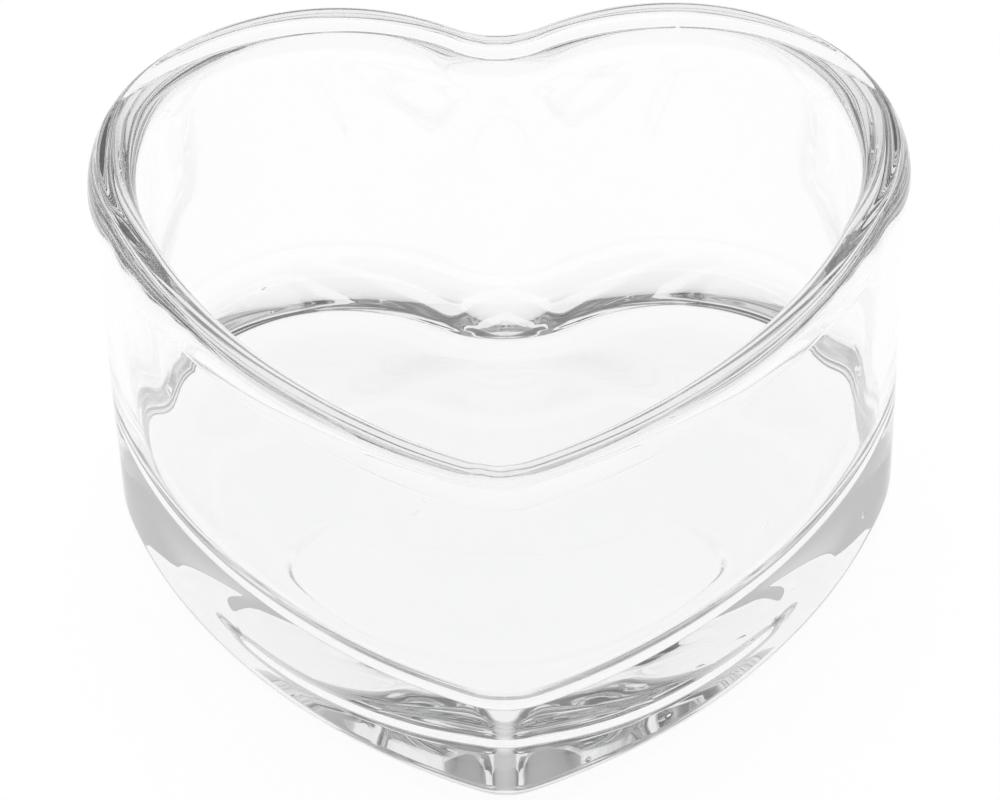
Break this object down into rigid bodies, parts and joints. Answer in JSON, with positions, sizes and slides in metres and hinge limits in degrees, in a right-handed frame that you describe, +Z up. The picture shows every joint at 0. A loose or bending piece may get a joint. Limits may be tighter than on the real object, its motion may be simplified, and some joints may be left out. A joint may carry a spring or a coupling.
{
  "type": "heart-shaped glass dish",
  "caption": "Open heart-shaped dish pressed in clear glass, with a rounded lip, upright walls and a thick flat base.",
  "frame": {"origin": "on the table, under the middle of the dish's overall width and depth", "axes": "+Z up out of the hollow, the heart's point towards -Y, its cleft towards +Y, +X to the right seen from the point"},
  "size_m": [0.09, 0.08, 0.0505],
  "materials": {
    "clear_glass": "clear, fire-polished"
  },
  "bodies": {
    "root": {"glass_dish": "clear_glass"}
  },
  "joints": []
}
